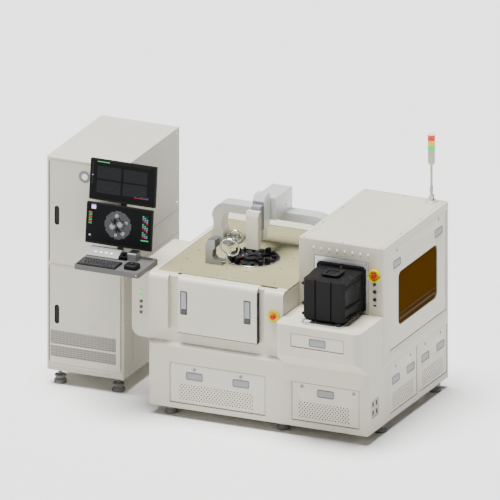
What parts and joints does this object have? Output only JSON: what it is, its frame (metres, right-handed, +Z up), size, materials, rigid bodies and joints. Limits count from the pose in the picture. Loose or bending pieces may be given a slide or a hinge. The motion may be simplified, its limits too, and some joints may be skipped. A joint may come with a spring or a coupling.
{
  "type": "wafer probe station",
  "caption": "Wafer probe station with wafer loader, load port and pod, microscope bridge over a probe card, operator tray with two screens, signal tower and a separate control cabinet",
  "frame": {"origin": "on the floor, below the middle of the bounding box", "axes": "+X to the right of a person facing the operator side, +Y to the back of the machine, +Z up"},
  "size_m": [2.668, 1.578, 1.934],
  "materials": {
    "cream_paint": "smooth powder coat, light warm grey",
    "cabinet_paint": "smooth powder coat, light grey",
    "table_gloss": "glossy greenish cream enamel",
    "silver": "fine blasted and clear anodised",
    "cast_grey": "cast, blasted",
    "bright_steel": "ground bright steel",
    "dark_feet": "dark moulded pads",
    "paddle_grey": "dull grey",
    "pod_black": "satin black moulding",
    "board_black": "black board and blocks",
    "amber_pane": "amber light-filtering pane",
    "lamp_green": "lamps, black keys and yellow guards",
    "red_cap": "glossy red",
    "black_cap": "glossy black",
    "tower_grey": "grey case with coloured lamps",
    "tray_paint": "fine texture powder coat",
    "key_plastic": "light keys",
    "screen_case": "dark case with glossy face",
    "stage_metal": "machined",
    "chuck_plate": "lapped, gold toned",
    "rack_black": "fine texture black"
  },
  "bodies": {
    "station": {"base_housing": "cream_paint", "prober_housing": "cream_paint", "loader_housing": "cream_paint", "shelf_housing": "cream_paint", "console_pod": "cream_paint", "levelling_feet": "dark_feet", "table_plate": "table_gloss", "probe_card": "board_black", "bridge": "silver", "wheel_bracket": "cast_grey", "port_plate": "silver", "panel_fittings": "lamp_green", "stage_base": "stage_metal", "handler_deck": "stage_metal", "tower_foot": "tower_grey", "cabinet_body": "cabinet_paint", "rack_units": "rack_black"},
    "left_cover": {"front_cover_left": "cream_paint"},
    "right_cover": {"front_cover_right": "cream_paint"},
    "side_front": {"side_cover_front": "cream_paint"},
    "side_rear": {"side_cover_rear": "cream_paint"},
    "window": {"window_panel": "cream_paint", "window_pane": "amber_pane"},
    "shelf_flap": {"shelf_cover": "cream_paint"},
    "left_paddles": {"front_paddles_left": "paddle_grey"},
    "right_paddle": {"front_paddle_right": "paddle_grey"},
    "side_front_paddles": {"side_paddles_front": "paddle_grey"},
    "side_rear_paddles": {"side_paddles_rear": "paddle_grey"},
    "window_paddles": {"window_paddles": "paddle_grey"},
    "stage_door": {"stage_door": "cream_paint"},
    "door_levers": {"door_levers": "bright_steel"},
    "dock": {"docking_plate": "silver"},
    "pod": {"wafer_pod": "pod_black"},
    "shutter": {"port_shutter": "silver"},
    "handler": {"handler_column": "stage_metal"},
    "turntable": {"turntable": "stage_metal"},
    "blade": {"blade": "stage_metal"},
    "stage_y": {"y_carriage": "stage_metal"},
    "stage_x": {"x_carriage": "stage_metal"},
    "stage_z": {"lift_column": "stage_metal"},
    "chuck": {"chuck": "chuck_plate"},
    "scope_carriage": {"scope_carriage": "silver"},
    "scope_column": {"scope_column": "silver"},
    "scope_module": {"scope_module": "cream_paint"},
    "twin_wheel": {"twin_wheel": "bright_steel"},
    "signal_tower": {"signal_tower": "tower_grey"},
    "stop_loader": {"estop_button_loader": "red_cap"},
    "stop_prober": {"estop_button_prober": "red_cap"},
    "selector": {"selector_knob": "black_cap"},
    "button_upper": {"panel_button_upper": "black_cap"},
    "button_lower": {"panel_button_lower": "black_cap"},
    "cabinet_lower": {"cabinet_lower_door": "cabinet_paint"},
    "cabinet_upper": {"cabinet_upper_door": "cabinet_paint"},
    "tray": {"tray": "tray_paint", "keyboard": "key_plastic", "trackball": "pod_black", "screen_mast": "tray_paint"},
    "joystick": {"joystick": "pod_black"},
    "lower_screen": {"lower_screen": "screen_case"},
    "upper_screen": {"upper_screen": "screen_case"}
  },
  "joints": [
    {"name": "left_cover_hinge", "type": "hinge", "parent": "station", "child": "left_cover", "pos_m": [0.1475, -0.619, 0.125], "axis": [1, 0, 0], "range_deg": [0, 90]},
    {"name": "right_cover_hinge", "type": "hinge", "parent": "station", "child": "right_cover", "pos_m": [1.0005, -0.619, 0.13], "axis": [1, 0, 0], "range_deg": [0, 90]},
    {"name": "side_front_hinge", "type": "hinge", "parent": "station", "child": "side_front", "pos_m": [1.326, -0.0015, 0.13], "axis": [0, 1, 0], "range_deg": [0, 90]},
    {"name": "side_rear_hinge", "type": "hinge", "parent": "station", "child": "side_rear", "pos_m": [1.326, 0.5175, 0.13], "axis": [0, 1, 0], "range_deg": [0, 90]},
    {"name": "window_panel_hinge", "type": "hinge", "parent": "station", "child": "window", "pos_m": [1.326, 0.253, 0.611], "axis": [0, 1, 0], "range_deg": [0, 90]},
    {"name": "shelf_cover_hinge", "type": "hinge", "parent": "station", "child": "shelf_flap", "pos_m": [1.008, -0.781, 0.749], "axis": [1, 0, 0], "range_deg": [0, 80]},
    {"name": "left_paddle_pivot", "type": "hinge", "parent": "left_cover", "child": "left_paddles", "pos_m": [0.1475, -0.622, 0.353], "axis": [-1, 0, 0], "range_deg": [0, 40]},
    {"name": "right_paddle_pivot", "type": "hinge", "parent": "right_cover", "child": "right_paddle", "pos_m": [1.0005, -0.622, 0.37], "axis": [-1, 0, 0], "range_deg": [0, 40]},
    {"name": "side_front_paddle_pivot", "type": "hinge", "parent": "side_front", "child": "side_front_paddles", "pos_m": [1.329, -0.0015, 0.38], "axis": [0, -1, 0], "range_deg": [0, 40]},
    {"name": "side_rear_paddle_pivot", "type": "hinge", "parent": "side_rear", "child": "side_rear_paddles", "pos_m": [1.329, 0.5175, 0.38], "axis": [0, -1, 0], "range_deg": [0, 40]},
    {"name": "window_paddle_pivot", "type": "hinge", "parent": "window", "child": "window_paddles", "pos_m": [1.329, 0.253, 1.258], "axis": [0, -1, 0], "range_deg": [0, 40]},
    {"name": "stage_door_hinge", "type": "hinge", "parent": "station", "child": "stage_door", "pos_m": [0.147, -0.55, 1.071], "axis": [-1, 0, 0], "range_deg": [0, 90]},
    {"name": "door_lever_pivot", "type": "hinge", "parent": "stage_door", "child": "door_levers", "pos_m": [0.147, -0.631, 0.9615], "axis": [-1, 0, 0], "range_deg": [0, 35]},
    {"name": "dock_slide", "type": "slide", "parent": "station", "child": "dock", "axis": [0, -1, 0], "range_m": [0, 0.06]},
    {"name": "pod_lift", "type": "slide", "parent": "dock", "child": "pod", "axis": [0, 0, 1], "range_m": [0, 0.09]},
    {"name": "shutter_slide", "type": "slide", "parent": "station", "child": "shutter", "axis": [0, 0, -1], "range_m": [0, 0.325]},
    {"name": "handler_lift", "type": "slide", "parent": "station", "child": "handler", "axis": [0, 0, 1], "range_m": [0, 0.05]},
    {"name": "handler_turn", "type": "hinge", "parent": "handler", "child": "turntable", "pos_m": [1.001, 0.173, 0.8343], "axis": [0, 0, 1], "range_deg": [0, 180]},
    {"name": "blade_reach", "type": "slide", "parent": "turntable", "child": "blade", "axis": [0, -1, 0], "range_m": [0, 0.18]},
    {"name": "stage_y", "type": "slide", "parent": "station", "child": "stage_y", "axis": [0, 1, 0], "range_m": [-0.2, 0.3]},
    {"name": "stage_x", "type": "slide", "parent": "stage_y", "child": "stage_x", "axis": [1, 0, 0], "range_m": [-0.1, 0.1]},
    {"name": "stage_lift", "type": "slide", "parent": "stage_x", "child": "stage_z", "axis": [0, 0, 1], "range_m": [0, 0.06]},
    {"name": "chuck_turn", "type": "hinge", "parent": "stage_z", "child": "chuck", "pos_m": [0.162, -0.039, 0.8772], "axis": [0, 0, 1], "continuous": true},
    {"name": "scope_slide", "type": "slide", "parent": "station", "child": "scope_carriage", "axis": [1, 0, 0], "range_m": [-0.02, 0.06]},
    {"name": "scope_lift", "type": "slide", "parent": "scope_carriage", "child": "scope_column", "axis": [0, 0, 1], "range_m": [-0.02, 0.04]},
    {"name": "scope_focus", "type": "slide", "parent": "scope_column", "child": "scope_module", "axis": [0, 0, 1], "range_m": [-0.015, 0.03]},
    {"name": "twin_wheel_spin", "type": "hinge", "parent": "station", "child": "twin_wheel", "pos_m": [0.066, -0.233, 1.211], "axis": [0.0705, -0.9568, -0.282], "continuous": true},
    {"name": "tower_fold", "type": "hinge", "parent": "station", "child": "signal_tower", "pos_m": [1.222, 0.737, 1.453], "axis": [0, -1, 0], "range_deg": [0, 90]},
    {"name": "stop_loader_press", "type": "slide", "parent": "station", "child": "stop_loader", "axis": [0, 1, 0], "range_m": [0, 0.005], "stiffness_N_per_m": 400, "springref_m": -0.002},
    {"name": "stop_prober_press", "type": "slide", "parent": "station", "child": "stop_prober", "axis": [0, 1, 0], "range_m": [0, 0.005], "stiffness_N_per_m": 400, "springref_m": -0.002},
    {"name": "selector_turn", "type": "hinge", "parent": "station", "child": "selector", "pos_m": [1.267, -0.352, 1.141], "axis": [0, -1, 0], "range_deg": [-45, 45]},
    {"name": "button_upper_press", "type": "slide", "parent": "station", "child": "button_upper", "axis": [0, 1, 0], "range_m": [0, 0.003], "stiffness_N_per_m": 300, "springref_m": -0.002},
    {"name": "button_lower_press", "type": "slide", "parent": "station", "child": "button_lower", "axis": [0, 1, 0], "range_m": [0, 0.003], "stiffness_N_per_m": 300, "springref_m": -0.002},
    {"name": "cabinet_lower_hinge", "type": "hinge", "parent": "station", "child": "cabinet_lower", "pos_m": [-0.753, -0.337, 0.54], "axis": [0, 0, 1], "range_deg": [0, 100]},
    {"name": "cabinet_upper_hinge", "type": "hinge", "parent": "station", "child": "cabinet_upper", "pos_m": [-0.753, -0.337, 1.3235], "axis": [0, 0, 1], "range_deg": [0, 5]},
    {"name": "tray_swivel", "type": "hinge", "parent": "station", "child": "tray", "pos_m": [-0.466, -0.517, 1.088], "axis": [0, 0, 1], "range_deg": [0, 35]},
    {"name": "joystick_tilt", "type": "hinge", "parent": "tray", "child": "joystick", "pos_m": [-0.631, -0.535, 1.144], "axis": [1, 0, 0], "range_deg": [-15, 15]},
    {"name": "lower_screen_tilt", "type": "hinge", "parent": "tray", "child": "lower_screen", "pos_m": [-0.697, -0.44084, 1.33301], "axis": [1, 0, 0], "range_deg": [-10, 4]},
    {"name": "upper_screen_tilt", "type": "hinge", "parent": "tray", "child": "upper_screen", "pos_m": [-0.697, -0.37284, 1.64301], "axis": [1, 0, 0], "range_deg": [-2, 4]}
  ]
}
